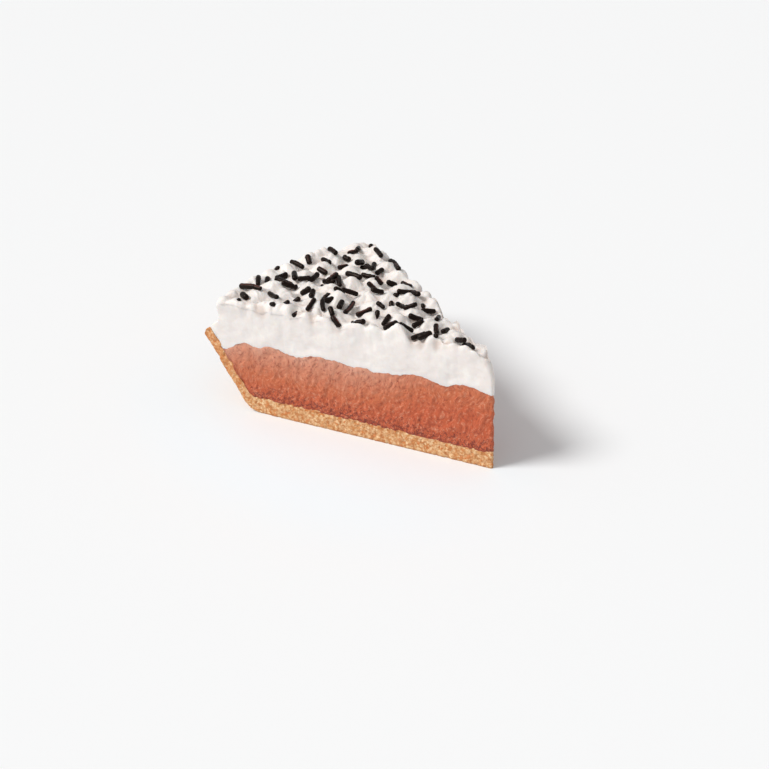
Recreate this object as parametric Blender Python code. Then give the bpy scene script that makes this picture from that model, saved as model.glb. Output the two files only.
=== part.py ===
# One slice of a chocolate cream pie: a crumb crust, a chocolate filling, and whipped cream
# in small dollops, strewn with chocolate sprinkles.
# Metres, +Z up. The slice points towards -Y, its crust rises at +Y, and the origin lies under
# the middle of its length and width, on the surface that it stands on.
# Every layer is a wedge: a section in radius and height, carried round the pie's centre.

import math

import bmesh
import bpy
import numpy as np

# Driving dimensions of the pie and the cut
PIE_RADIUS = 0.1152
SLICE_ANGLE = math.radians(41.0)
RIM_HEIGHT = 0.0322
CRUST_BASE = 0.0062
CRUST_WALL = 0.0042
FILLING_CENTRE = 0.0310
CREAM_CROWN = 0.0417
LAYER_GAP = 0.0003

# The crust's wall leans outwards from a rounded foot to a crumbly rim
FOOT_RADIUS = 0.0975
FOOT_ROUNDING = 0.0060
RIM_SHOULDER = 0.0287
RIM_OUTSIDE_ROUNDING = 0.0012
RIM_TOP_ROUNDING = 0.0016
WALL_SLOPE = (PIE_RADIUS - FOOT_RADIUS) / RIM_SHOULDER
INNER_ROUNDING = 0.0030
CRUMB_RELIEF = 0.0005
CRUMB_SIZE = 0.012
CRUMB_WALL_SEED = 11
CRUMB_RIM_SEED = 12

# The knife leaves a narrow blunt tip, which leans back a little, and more beside the cream
TIP_BLUNT = 0.0019
TIP_LEAN = 0.020
TIP_CREAM_LEAN = 0.0022
PIE_CENTRE_Y = -(PIE_RADIUS + TIP_BLUNT) / 2

# Crests and dips of the filling's top along the cut at -X: radius and height of each, in
# millimetres. Towards the other cut they move outwards by up to the shift.
FILLING_TOP = np.array(
    (
        (0.0, 29.2), (10.0, 31.1), (15.0, 30.8), (20.0, 29.1), (30.0, 31.0), (40.0, 29.0),
        (47.0, 28.3), (50.5, 29.1), (55.0, 28.2), (62.0, 29.1), (69.0, 29.2), (78.5, 27.0),
        (88.0, 28.8), (93.5, 27.1), (98.5, 28.2), (107.5, 23.6),
    )
) / 1000.0
FILLING_SHIFT = 0.0090

# The cream lays a lip over the rim, swells a little and rounds over at its shoulder and cuts
CREAM_RADIUS = 0.1098
CREAM_FOOT = 0.0300
CREAM_LIP_RISE = 0.0005
CREAM_LIP_ROUNDING = 0.0010
CREAM_LIP_HEIGHT = 0.0025
CREAM_CUT_AT_TIP = 0.0012
CREAM_CUT_AT_RIM = 0.0026
CREAM_SHOULDER = 0.0385
CREAM_SHOULDER_RUN = 0.0036
CREAM_SHOULDER_SHARES = (0.0, 0.3, 0.6, 0.85)
CREAM_SWELL = 0.0008
CREAM_SWELL_SIZE = 0.011
CREAM_SWELL_SEED = 21
CREAM_LEAN = 0.0018
CREAM_FALL_FROM = 0.070
CREAM_FALL = 0.0012
CREAM_TIP_ROUNDING = 0.0085
CREAM_TIP_DROP = 0.0036
CREAM_TIP_SHARES = (0.85, 0.65, 0.4)

# Its dollops stand in uneven rows
DOLLOP_SPACING = 0.0100
DOLLOP_JITTER = 0.32
DOLLOP_WIDTH = 0.0048
DOLLOP_LOW = 0.0032
DOLLOP_HIGH = 0.0055
DOLLOP_POINT = 1.9
DOLLOP_CREASE = 4.0
DOLLOP_RIDGES = 5
DOLLOP_RIDGE_DEPTH = 0.12
DOLLOP_TWIST = 260.0
DOLLOP_AT_RIM = 0.72
DOLLOP_SEED = 85

# Chocolate sprinkles are short rods with rounded ends, most of them lying on the cream
SPRINKLE_COUNT = 88
SPRINKLE_DIAMETER = 0.00195
SPRINKLE_SHORT = 0.0028
SPRINKLE_USUAL = 0.0052
SPRINKLE_LONG = 0.0086
SPRINKLE_SIDES = 5
SPRINKLE_SAMPLES = 7
SPRINKLE_END = 0.55
SPRINKLE_APART = 0.0030
SPRINKLE_TOUCHING = 0.25
SPRINKLE_MIDDLES = 0.0016
SPRINKLE_RISE = 0.0001
SPRINKLE_ON_BULGE = 0.75
SPRINKLE_TILT = math.radians(9.0)
SPRINKLE_STEEP_SHARE = 0.2
SPRINKLE_STEEP = (math.radians(20.0), math.radians(45.0))
SPRINKLE_STEEP_SINK = 0.2
SPRINKLE_SEED = 3216

# Uneven relief is a sum of this many waves, whose lengths spread round the one asked for
WAVE_COUNT = 10
WAVE_SPREAD = (0.8, 1.4)

# Spacing of the mesh points, steps round the corners, and the angle that still looks smooth
TOP_SPACING = 0.0019
FILLING_SPACING = 0.0034
CRUST_SPACING = 0.0034
HIDDEN_SPACING = 0.0068
WHOLE_LENGTH = PIE_RADIUS
FOOT_STEPS = 5
CORNER_STEPS = 3
EDGE_STEPS = 2
SMOOTH_ANGLE = math.radians(35.0)

HALF_ANGLE = SLICE_ANGLE / 2


def clear_scene():
    for obj in list(bpy.data.objects):
        bpy.data.objects.remove(obj, do_unlink=True)


def material(name, colour, roughness):
    made = bpy.data.materials.new(name)
    made.use_nodes = True
    shader = made.node_tree.nodes["Principled BSDF"]
    shader.inputs["Base Color"].default_value = (*colour, 1.0)
    shader.inputs["Roughness"].default_value = roughness
    shader.inputs["Metallic"].default_value = 0.0
    return made


def link_mesh(name, bm, look):
    bmesh.ops.recalc_face_normals(bm, faces=bm.faces[:])
    mesh = bpy.data.meshes.new(name)
    bm.to_mesh(mesh)
    bm.free()
    mesh.shade_smooth()
    mesh.set_sharp_from_angle(angle=SMOOTH_ANGLE)
    mesh.materials.append(look)
    obj = bpy.data.objects.new(name, mesh)
    bpy.context.scene.collection.objects.link(obj)
    return obj


def place(radii, angles, heights):
    """Points at these radii, angles from the slice's middle, and heights."""
    return np.column_stack(
        (radii * np.sin(angles), PIE_CENTRE_Y + radii * np.cos(angles), heights)
    )


def waves(points, wavelength, seed):
    """A smooth uneven relief of about 1: plane waves in seeded directions, added up."""
    random = np.random.default_rng(seed)
    directions = random.normal(size=(WAVE_COUNT, points.shape[1]))
    directions /= np.linalg.norm(directions, axis=1)[:, None]
    lengths = wavelength * random.uniform(*WAVE_SPREAD, (WAVE_COUNT, 1))
    phases = random.uniform(0.0, math.tau, WAVE_COUNT)
    turns = directions * math.tau / lengths
    return np.sin(points @ turns.T + phases).sum(axis=1) / math.sqrt(WAVE_COUNT)


def smooth_step(value, start, end):
    share = np.clip((value - start) / (end - start), 0.0, 1.0)
    return share * share * (3.0 - 2.0 * share)


def inner_wall_radius(height):
    return FOOT_RADIUS + WALL_SLOPE * height - CRUST_WALL


def filling_edge_radius():
    """Where the filling's top meets the crust's wall."""
    return inner_wall_radius(FILLING_TOP[-1, 1]) - LAYER_GAP


def filling_height(radii, angles):
    """The filling's top: a smooth step from each crest or dip to the next."""
    spots, heights = FILLING_TOP.T
    shift = FILLING_SHIFT * (angles + HALF_ANGLE) / SLICE_ANGLE
    radii = np.clip(radii - shift * np.sin(math.pi * radii / spots[-1]), 0.0, spots[-1])
    step = np.clip(np.searchsorted(spots, radii) - 1, 0, len(spots) - 2)
    share = smooth_step(radii, spots[step], spots[step + 1])
    return heights[step] + share * (heights[step + 1] - heights[step])


def dollop_table():
    """Rows of dollops over the slice and a little past its cuts, with their seeded draws."""
    random = np.random.default_rng(DOLLOP_SEED)
    row_step = DOLLOP_SPACING * math.sqrt(3.0) / 2
    reach = math.ceil(PIE_RADIUS * math.tan(HALF_ANGLE) / DOLLOP_SPACING) + 1
    rows = np.arange(-1, math.ceil(CREAM_RADIUS / row_step) + 1)
    columns = np.arange(-reach, reach + 1)
    row, column = (grid.ravel() for grid in np.meshgrid(rows, columns, indexing="ij"))
    jitter = random.uniform(-DOLLOP_JITTER, DOLLOP_JITTER, (2, len(row)))
    x = (column + 0.5 * (row % 2) + jitter[0]) * DOLLOP_SPACING
    y = PIE_CENTRE_Y + row * row_step + jitter[1] * DOLLOP_SPACING
    height = random.uniform(DOLLOP_LOW, DOLLOP_HIGH, len(row))
    phase = random.uniform(0.0, math.tau, len(row))
    return x, y, height, phase


def dollop_height(x, y):
    """Height of the dollops over the cream's crown: soft points, joined in creases."""
    centre_x, centre_y, height, phase = dollop_table()
    across = x[:, None] - centre_x
    along = y[:, None] - centre_y
    away = np.hypot(across, along)
    star = np.cos(DOLLOP_RIDGES * np.arctan2(along, across) + phase + DOLLOP_TWIST * away)
    reach = away * (1.0 + DOLLOP_RIDGE_DEPTH * star * smooth_step(away, 0.0, DOLLOP_WIDTH))
    bells = height * np.exp(-((reach / DOLLOP_WIDTH) ** DOLLOP_POINT))
    return (bells**DOLLOP_CREASE).sum(axis=1) ** (1.0 / DOLLOP_CREASE)


def cut_drop(x, y):
    """A quarter circle off the top's edge along each cut, larger towards the rim."""
    radii, angles = np.hypot(x, y - PIE_CENTRE_Y), np.arctan2(x, y - PIE_CENTRE_Y)
    from_cut = radii * np.sin(HALF_ANGLE - np.abs(angles))
    share = np.clip(radii / CREAM_RADIUS, 0.0, 1.0) ** 2
    size = CREAM_CUT_AT_TIP + (CREAM_CUT_AT_RIM - CREAM_CUT_AT_TIP) * share
    inside = np.clip(size - from_cut, 0.0, size)
    return size - np.sqrt(size**2 - inside**2)


def cream_height(x, y):
    """The cream's top: dollops on a crown that leans to +X and falls at the rim and the tip."""
    radii = np.hypot(x, y - PIE_CENTRE_Y)
    lean = CREAM_LEAN * np.arctan2(x, y - PIE_CENTRE_Y) / HALF_ANGLE
    fall = np.clip((radii - CREAM_FALL_FROM) / (CREAM_RADIUS - CREAM_FALL_FROM), 0.0, 1.0)
    tip = 1.0 - np.clip(radii / CREAM_TIP_ROUNDING, 0.0, 1.0)
    crown = CREAM_CROWN - lean - CREAM_FALL * fall**2 - CREAM_TIP_DROP * tip**2 - cut_drop(x, y)
    return crown + dollop_height(x, y) * (1.0 - (1.0 - DOLLOP_AT_RIM) * fall**4) * (1.0 - tip / 2)


def tip_radius(height):
    """How far the blunt tip stands from the pie's centre, leaning back with its height."""
    rise = min(max((height - FILLING_CENTRE) / (CREAM_CROWN - FILLING_CENTRE), 0.0), 1.0)
    return TIP_BLUNT + TIP_LEAN * height + TIP_CREAM_LEAN * rise**3


def arc_points(radius, height, spacing, relief=None):
    """A row of points on an arc across the slice, moved by the relief if there is one."""
    columns = max(1, round(radius * SLICE_ANGLE / spacing))
    angles = np.linspace(-HALF_ANGLE, HALF_ANGLE, columns + 1)
    radii = np.full(len(angles), radius)
    heights = np.full(len(angles), height)
    if relief:
        radii, heights = relief(radii, angles, heights)
    return place(radii, angles, heights)


def stitch(bm, first, second):
    """Triangles between two rows of vertices that may differ in number."""
    last_first, last_second = len(first) - 1, len(second) - 1
    i = j = 0
    while i < last_first or j < last_second:
        if j == last_second or (i < last_first and (i + 1) * last_second <= (j + 1) * last_first):
            bm.faces.new((first[i], first[i + 1], second[j]))
            i += 1
        else:
            bm.faces.new((first[i], second[j + 1], second[j]))
            j += 1


def wedge(name, arcs, look):
    """A closed wedge through arcs that go once round its section, with its two cut faces."""
    bm = bmesh.new()
    rows = [[bm.verts.new(point) for point in arc] for arc in arcs]
    for first, second in zip(rows, rows[1:] + rows[:1]):
        stitch(bm, first, second)
    for side in (0, -1):
        bm.faces.new([row[side] for row in rows])
    bm.normal_update()
    bmesh.ops.triangulate(bm, faces=[face for face in bm.faces if len(face.verts) > 4])
    return link_mesh(name, bm, look)


def rounded(corner, before, after, size, steps):
    """Points round a corner of the section, on a curve that starts and ends size away from it."""
    corner, before, after = (np.array(point) for point in (corner, before, after))
    start = corner + size * (before - corner) / np.linalg.norm(before - corner)
    end = corner + size * (after - corner) / np.linalg.norm(after - corner)
    shares = np.linspace(0.0, 1.0, steps + 1)[:, None]
    return list((1 - shares) ** 2 * start + 2 * shares * (1 - shares) * corner + shares**2 * end)


def run(start, end, spacing):
    """Points along a straight line from start to just before end."""
    start, end = np.array(start), np.array(end)
    steps = max(1, round(np.linalg.norm(end - start) / spacing))
    return list(start + (end - start) * np.arange(steps)[:, None] / steps)


def crumbly(radii, angles, heights):
    """Moves the outer wall inwards and the rim up or down by an uneven crumb relief."""
    points = place(radii, angles, heights)
    share = smooth_step(heights, -RIM_HEIGHT, RIM_HEIGHT)
    inwards = CRUMB_RELIEF * share * (waves(points, CRUMB_SIZE, CRUMB_WALL_SEED) - 1.0)
    outside = (radii > inner_wall_radius(heights) + CRUST_WALL / 3) & (heights > FOOT_ROUNDING / 4)
    at_rim = smooth_step(heights, RIM_SHOULDER, RIM_HEIGHT)
    upwards = CRUMB_RELIEF * at_rim * waves(points, CRUMB_SIZE, CRUMB_RIM_SEED)
    return radii + np.where(outside, inwards, 0.0), heights + upwards


def crumb_crust(look):
    """The crust: a flat base, a rounded foot, a leaning wall and an uneven rounded rim."""
    tip_low, tip_high = (TIP_BLUNT, 0.0), (tip_radius(CRUST_BASE), CRUST_BASE)
    foot = (FOOT_RADIUS, 0.0)
    rim_outside = (PIE_RADIUS, RIM_SHOULDER)
    rim_top = (PIE_RADIUS - CRUST_WALL / 2, RIM_HEIGHT)
    rim_inside = (inner_wall_radius(RIM_SHOULDER), RIM_SHOULDER)
    corner = (inner_wall_radius(CRUST_BASE), CRUST_BASE)
    foot_curve = rounded(foot, tip_low, rim_outside, FOOT_ROUNDING, FOOT_STEPS)
    inner_curve = rounded(corner, rim_inside, tip_high, INNER_ROUNDING, CORNER_STEPS)
    section = (
        run(tip_low, foot_curve[0], WHOLE_LENGTH)
        + foot_curve
        + run(foot_curve[-1], rim_outside, CRUST_SPACING)[1:]
        + rounded(rim_outside, foot, rim_top, RIM_OUTSIDE_ROUNDING, EDGE_STEPS)
        + rounded(rim_top, rim_outside, rim_inside, RIM_TOP_ROUNDING, CORNER_STEPS)
        + run(rim_inside, inner_curve[0], HIDDEN_SPACING)
        + inner_curve
        + [np.array(tip_high)]
    )
    arcs = [arc_points(radius, height, CRUST_SPACING, crumbly) for radius, height in section]
    return wedge("crumb_crust", arcs, look)


def filling_rings():
    """Radii of the rings shared by the filling's top and the cream's underside."""
    start, edge = tip_radius(FILLING_CENTRE), filling_edge_radius()
    return np.linspace(start, edge, round((edge - start) / FILLING_SPACING) + 1)


def chocolate_filling(look):
    """The filling: a solid wedge on the crust's base and against its wall, with a wavy top."""

    def wavy(radii, angles, heights):
        return radii, filling_height(radii, angles)

    floor = CRUST_BASE + LAYER_GAP
    rings = filling_rings()
    tip = (tip_radius(floor), floor)
    corner = (inner_wall_radius(floor) - LAYER_GAP, floor)
    top_edge = (rings[-1], filling_height(rings[-1], 0.0))
    inner_curve = rounded(corner, tip, top_edge, INNER_ROUNDING + LAYER_GAP, CORNER_STEPS)
    section = run(tip, inner_curve[0], WHOLE_LENGTH) + inner_curve
    section += run(inner_curve[-1], top_edge, HIDDEN_SPACING)[1:]
    arcs = [arc_points(radius, height, FILLING_SPACING) for radius, height in section]
    arcs += [arc_points(radius, 0.0, FILLING_SPACING, wavy) for radius in rings[::-1]]
    return wedge("chocolate_filling", arcs, look)


def cream_body(look):
    """The cream: over the filling, a lip over the rim, a soft shoulder, and back in dollops."""

    def over_filling(radii, angles, heights):
        return radii, filling_height(radii, angles) + LAYER_GAP

    def swelling(radii, angles, heights):
        points = place(radii, angles, heights)
        swell = CREAM_SWELL * smooth_step(heights, CREAM_FOOT, CREAM_SHOULDER)
        return radii + swell * waves(points, CREAM_SWELL_SIZE, CREAM_SWELL_SEED), heights

    def shoulder(share):
        """An arc of the rounded edge between the side, at share 0, and the top, at share 1."""

        def rounded_edge(radii, angles, heights):
            points = place(radii, angles, heights)
            swell = CREAM_SWELL * (1.0 - share)
            lumps = swell * waves(points, CREAM_SWELL_SIZE, CREAM_SWELL_SEED)
            rise = cream_height(points[:, 0], points[:, 1]) - heights
            return radii + lumps, heights + rise * math.sin(share * math.pi / 2)

        radius = CREAM_RADIUS - CREAM_SHOULDER_RUN * (1.0 - math.cos(share * math.pi / 2))
        return arc_points(radius, CREAM_SHOULDER, TOP_SPACING, rounded_edge)

    def dolloped(radii, angles, heights):
        points = place(radii, angles, heights)
        return radii, cream_height(points[:, 0], points[:, 1])

    rings = filling_rings()
    low = (rings[-1], filling_height(rings[-1], 0.0) + LAYER_GAP)
    foot = (inner_wall_radius(CREAM_FOOT) - LAYER_GAP, CREAM_FOOT)
    lip = (PIE_RADIUS - CRUST_WALL / 2, RIM_HEIGHT + CREAM_LIP_RISE)
    side = (CREAM_RADIUS + CREAM_SWELL / 2, lip[1] + CREAM_LIP_HEIGHT)
    lip_curve = rounded(lip, foot, side, CREAM_LIP_ROUNDING, CORNER_STEPS)
    arcs = [arc_points(radius, 0.0, FILLING_SPACING, over_filling) for radius in rings]
    arcs += [arc_points(*point, FILLING_SPACING) for point in run(low, foot, FILLING_SPACING)[1:]]
    arcs += [arc_points(*point, FILLING_SPACING, crumbly) for point in (foot, *lip_curve)]
    arcs += [
        arc_points(*point, TOP_SPACING, swelling)
        for point in run(side, (CREAM_RADIUS, CREAM_SHOULDER), TOP_SPACING)
    ]
    arcs += [shoulder(share) for share in CREAM_SHOULDER_SHARES]
    inside, tip_top = CREAM_RADIUS - CREAM_SHOULDER_RUN, tip_radius(CREAM_CROWN)
    for radius in np.linspace(inside, tip_top, round((inside - tip_top) / TOP_SPACING)):
        arcs.append(arc_points(radius, 0.0, TOP_SPACING, dolloped))
    for share in CREAM_TIP_SHARES:
        height = FILLING_CENTRE + share * (CREAM_CROWN - FILLING_CENTRE)
        arcs.append(arc_points(tip_radius(height), height, TOP_SPACING))
    return wedge("whipped_cream", arcs, look)


def sprinkle_table():
    """Seeded sprinkles, each with its centre, its unit direction and its length."""
    random = np.random.default_rng(SPRINKLE_SEED)
    shares = np.linspace(-0.5, 0.5, SPRINKLE_SAMPLES)
    taken = np.empty((0, 2))
    table = []
    while len(table) < SPRINKLE_COUNT:
        radius = CREAM_RADIUS * math.sqrt(random.uniform())
        angle = random.uniform(-HALF_ANGLE, HALF_ANGLE)
        yaw = random.uniform(0.0, math.tau)
        length = random.triangular(SPRINKLE_SHORT, SPRINKLE_USUAL, SPRINKLE_LONG)
        steep = random.uniform() < SPRINKLE_STEEP_SHARE
        tilt = random.uniform(*SPRINKLE_STEEP) if steep else random.normal(0.0, SPRINKLE_TILT)
        apart = SPRINKLE_APART if random.uniform() > SPRINKLE_TOUCHING else 0.0
        x, y = radius * math.sin(angle), PIE_CENTRE_Y + radius * math.cos(angle)
        run_x = x + shares * length * math.cos(yaw) * math.cos(tilt)
        run_y = y + shares * length * math.sin(yaw) * math.cos(tilt)
        from_centre = run_y - PIE_CENTRE_Y
        past_cut = np.abs(run_x) * math.cos(HALF_ANGLE) - from_centre * math.sin(HALF_ANGLE)
        past_rim = np.hypot(run_x, from_centre) - (CREAM_RADIUS - SPRINKLE_DIAMETER)
        if past_cut.max() > 0.0 or past_rim.max() > 0.0:
            continue
        spots = np.column_stack((run_x, run_y))
        nearest = np.linalg.norm(spots[:, None] - taken, axis=2)
        middle = nearest[SPRINKLE_SAMPLES // 2]
        if table and (nearest.min() < apart or middle.min() < SPRINKLE_MIDDLES):
            continue
        taken = np.concatenate((taken, spots))
        ground = cream_height(run_x, run_y)
        slope = math.tan(tilt) + (ground[-1] - ground[0]) / (length * math.cos(tilt))
        bulge = (ground - ground.mean() - slope * shares * length).max() * SPRINKLE_ON_BULGE
        direction = np.array((math.cos(yaw), math.sin(yaw), slope))
        rise = -SPRINKLE_STEEP_SINK * length * math.sin(tilt) if steep else bulge + SPRINKLE_RISE
        centre = np.array((x, y, ground.mean() + rise))
        table.append((centre, direction / np.linalg.norm(direction), length))
    return table


def sprinkle(name, centre, direction, length, look):
    """One rod with rounded ends: four rings of points round its line."""
    side = np.cross(direction, (0.0, 0.0, 1.0))
    side /= np.linalg.norm(side)
    up = np.cross(side, direction)
    radius = SPRINKLE_DIAMETER / 2
    turns = np.arange(SPRINKLE_SIDES) * math.tau / SPRINKLE_SIDES + math.pi / 2
    outline = radius * (np.cos(turns)[:, None] * side + np.sin(turns)[:, None] * up)
    half, full = length / 2, length / 2 - radius / 2
    bm = bmesh.new()
    rows = []
    for along, width in ((-half, SPRINKLE_END), (-full, 1.0), (full, 1.0), (half, SPRINKLE_END)):
        points = centre + direction * along + outline * width
        rows.append([bm.verts.new(point) for point in points])
    for first, second in zip(rows, rows[1:]):
        for k in range(SPRINKLE_SIDES):
            after = (k + 1) % SPRINKLE_SIDES
            bm.faces.new((first[k], first[after], second[after], second[k]))
    bm.faces.new(rows[0])
    bm.faces.new(rows[-1])
    return link_mesh(name, bm, look)


def fuse(body, pieces):
    """Joins the pieces to the body by one Boolean union, applies it and removes them."""
    group = bpy.data.collections.new("to_fuse")
    bpy.context.scene.collection.children.link(group)
    for piece in pieces:
        bpy.context.scene.collection.objects.unlink(piece)
        group.objects.link(piece)
    union = body.modifiers.new("fuse", "BOOLEAN")
    union.operation = "UNION"
    union.operand_type = "COLLECTION"
    union.collection = group
    union.solver = "EXACT"
    graph = bpy.context.evaluated_depsgraph_get()
    joined = bpy.data.meshes.new_from_object(body.evaluated_get(graph))
    body.modifiers.clear()
    body.data = joined
    for piece in pieces:
        bpy.data.objects.remove(piece, do_unlink=True)
    bpy.data.collections.remove(group)


def main():
    clear_scene()
    crumb_crust(material("crumb_crust", colour=(0.66, 0.33, 0.14), roughness=0.85))
    chocolate_filling(material("chocolate_filling", colour=(0.55, 0.16, 0.08), roughness=0.60))
    cream = cream_body(material("whipped_cream", colour=(0.90, 0.86, 0.82), roughness=0.50))
    sprinkle_look = material("chocolate_sprinkles", colour=(0.022, 0.009, 0.006), roughness=0.35)
    rods = [
        sprinkle(f"sprinkle_{number}", *row, sprinkle_look)
        for number, row in enumerate(sprinkle_table())
    ]
    fuse(cream, rods)


main()
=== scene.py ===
# A slice of chocolate cream pie in its finished surfaces: crumb crust, chocolate filling,
# whipped cream in small dollops, and chocolate sprinkles. Metres, +Z up; the tip points to -Y.

import math

import bmesh
import bpy
import numpy as np
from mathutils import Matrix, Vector


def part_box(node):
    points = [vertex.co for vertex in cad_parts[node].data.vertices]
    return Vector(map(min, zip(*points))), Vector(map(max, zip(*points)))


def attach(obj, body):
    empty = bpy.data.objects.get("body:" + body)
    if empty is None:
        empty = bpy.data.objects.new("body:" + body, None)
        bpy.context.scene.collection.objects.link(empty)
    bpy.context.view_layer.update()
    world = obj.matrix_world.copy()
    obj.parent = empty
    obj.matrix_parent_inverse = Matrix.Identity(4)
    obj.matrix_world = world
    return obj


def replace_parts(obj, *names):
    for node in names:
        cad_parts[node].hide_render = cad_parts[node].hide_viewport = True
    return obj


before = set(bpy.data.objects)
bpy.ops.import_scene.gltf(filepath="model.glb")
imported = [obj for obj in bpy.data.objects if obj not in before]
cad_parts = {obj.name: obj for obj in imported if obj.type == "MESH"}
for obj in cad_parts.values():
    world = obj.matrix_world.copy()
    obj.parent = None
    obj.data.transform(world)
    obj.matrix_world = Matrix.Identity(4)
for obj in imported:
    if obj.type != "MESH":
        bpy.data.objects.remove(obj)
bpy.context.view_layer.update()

mm = 0.001
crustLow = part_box("crumb_crust")[0]
print("frame loaded:", ", ".join(sorted(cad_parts)))

# The pie and its cut, as in the solids
pie = {
    "sliceAngle": math.radians(41.0),
    "crustRadius": 115.2 * mm,
    "rimHeight": 31.6 * mm,
    "baseHeight": 6.2 * mm,
    "wallThickness": 4.2 * mm,
    "footRadius": 97.5 * mm,
    "rimShoulder": 28.7 * mm,
    "fillingCentre": 31.0 * mm,
    "creamCrown": 41.7 * mm,
    "tipBlunt": 1.9 * mm,
    "tipForward": 0.6 * mm,    # how much less blunt the finished tip is
    "tipLean": 0.020,          # metres back for each metre up
    "tipCreamLean": 2.2 * mm,  # and so much more at the top of the cream
    "tipFade": 5.0,            # its front fades out behind it by this many times its radius
    "evenReach": (3.8 * mm, 19.0 * mm),   # radii between which the rows' points spread evenly
    "fewestPoints": 14,        # in a row
    "hiddenSpacing": 3.0 * mm, # between points that the floor or another piece hides
    "seam": 0.03 * mm,         # air between two layers
}
halfAngle = pie["sliceAngle"] / 2
centreY = crustLow.y - pie["tipBlunt"] * math.cos(halfAngle)
wallSlope = (pie["crustRadius"] - pie["footRadius"]) / pie["rimShoulder"]


# Numbers that vary over space

def smoothStep(value, start, end):
    # 0 before start and 1 after end; between them three times the square of the share of the
    # way, less twice its cube
    share = np.clip((value - start) / (end - start), 0.0, 1.0)
    return share * share * (3.0 - 2.0 * share)


def waves(points, wavelength, seed, count=10):
    # Sines of the distance along seeded directions, of 0.8 to 1.4 times this length, added up and
    # divided by the root of their number: a smooth uneven relief of about 1
    random = np.random.default_rng(seed)
    directions = random.normal(size=(count, points.shape[-1]))
    directions /= np.linalg.norm(directions, axis=1)[:, None]
    lengths = wavelength * random.uniform(0.8, 1.4, (count, 1))
    phases = random.uniform(0.0, math.tau, count)
    turns = directions * math.tau / lengths
    return np.sin(points @ turns.T + phases).sum(axis=-1) / math.sqrt(count)


def softNoise(points, size, seed, repeat=64):
    # A random number from -1 to 1 at each corner of a grid of this size, blended smoothly between
    corners = np.random.default_rng(seed).uniform(-1.0, 1.0, (repeat, repeat, repeat))
    spot = points / size
    cell = np.floor(spot).astype(int)
    share = smoothStep(spot - cell, 0.0, 1.0)
    total = np.zeros(len(points))
    for corner in np.ndindex(2, 2, 2):
        weight = np.where(corner, share, 1.0 - share).prod(axis=1)
        total += weight * corners[tuple((cell + corner).T % repeat)]
    return total


def layeredNoise(points, layers):
    # Soft noise at several sizes added up; each layer has its size, its height and its seed
    return sum(height * softNoise(points, size, seed) for size, height, seed in layers)


def bentPoints(points, size, reach, seed, axes=3):
    # Points that soft noise of this size moves by up to reach along the first of their axes
    bends = [reach * softNoise(points, size, seed + axis) for axis in range(axes)]
    moved = points.copy()
    moved[:, :axes] += np.column_stack(bends)
    return moved


def crumbDistance(points, size, seed, repeat=32):
    # One crumb centre strewn in each cell of this size: the distance to the nearest, in cells
    strewn = np.random.default_rng(seed).random((repeat, repeat, repeat, 3))
    spot = points / size
    cell = np.floor(spot).astype(int)
    nearest = np.full(len(points), np.inf)
    for step in np.ndindex(3, 3, 3):
        neighbour = cell + step - 1
        centre = neighbour + strewn[tuple(neighbour.T % repeat)]
        nearest = np.minimum(nearest, np.linalg.norm(spot - centre, axis=1))
    return nearest


def polar(x, y):
    # Distance from the pie's centre, and angle from the middle of the slice
    return np.hypot(x, y - centreY), np.arctan2(x, y - centreY)


# Rows of points across the slice, and the closed pieces made of them

def tipRadius(height):
    # It grows evenly with height, and by the cube of the share of the way up the cream
    creamDepth = pie["creamCrown"] - pie["fillingCentre"]
    rise = np.clip((height - pie["fillingCentre"]) / creamDepth, 0, 1)
    blunt = pie["tipBlunt"] - pie["tipForward"]
    return blunt + pie["tipLean"] * height + pie["tipCreamLean"] * rise**3


def place(radii, angles, heights):
    # Points from radii, angles and heights. The front at the tip moves out to the circle that
    # touches both cuts, and this fades out behind it.
    tip = tipRadius(heights)
    circle = tip * math.sin(halfAngle) / (1.0 - math.sin(halfAngle))
    across = (tip + circle) * np.sin(angles)
    front = (tip + circle) * np.cos(angles) - np.sqrt(np.clip(circle**2 - across**2, 0.0, None))
    radii = radii + (front - tip) * (1.0 - smoothStep(radii, tip, pie["tipFade"] * tip))
    return np.stack(
        (radii * np.sin(angles), centreY + radii * np.cos(angles), heights), axis=-1
    )


def arcRow(radius, height, spacing, shape=None):
    # Points on an arc round the pie's centre, from cut to cut, and closer at the cuts near the
    # tip; shape may move radii and heights
    wanted = round(radius * pie["sliceAngle"] / spacing)
    share = np.linspace(-1.0, 1.0, max(pie["fewestPoints"], wanted))
    even = smoothStep(radius, *pie["evenReach"])
    angles = halfAngle * (even * share + (1.0 - even) * np.sin(share * math.pi / 2))
    radii, heights = np.full(len(angles), radius), np.full(len(angles), height)
    if shape:
        radii, heights = shape(radii, angles, heights)
    return place(radii, angles, heights)


def arcRows(line, spacing, shape=None):
    # One such row for each radius and height along a line
    return [arcRow(radius, height, spacing, shape) for radius, height in line]


def resample(line, count):
    # Count + 1 points at equal distances along a line of points
    line = np.array(line)
    lengths = np.concatenate(((0.0,), np.linalg.norm(np.diff(line, axis=0), axis=1).cumsum()))
    wanted = np.linspace(0.0, lengths[-1], count + 1)
    return np.column_stack([np.interp(wanted, lengths, line[:, axis]) for axis in (0, 1)])


def rounded(corner, before, after, size, steps=8):
    # A corner of the section as a parabola that starts and ends size away from it
    corner, before, after = np.array(corner), np.array(before), np.array(after)
    start = corner + size * (before - corner) / np.linalg.norm(before - corner)
    end = corner + size * (after - corner) / np.linalg.norm(after - corner)
    share = np.linspace(0.0, 1.0, steps + 1)[:, None]
    return list((1 - share) ** 2 * start + 2 * share * (1 - share) * corner + share**2 * end)


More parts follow.
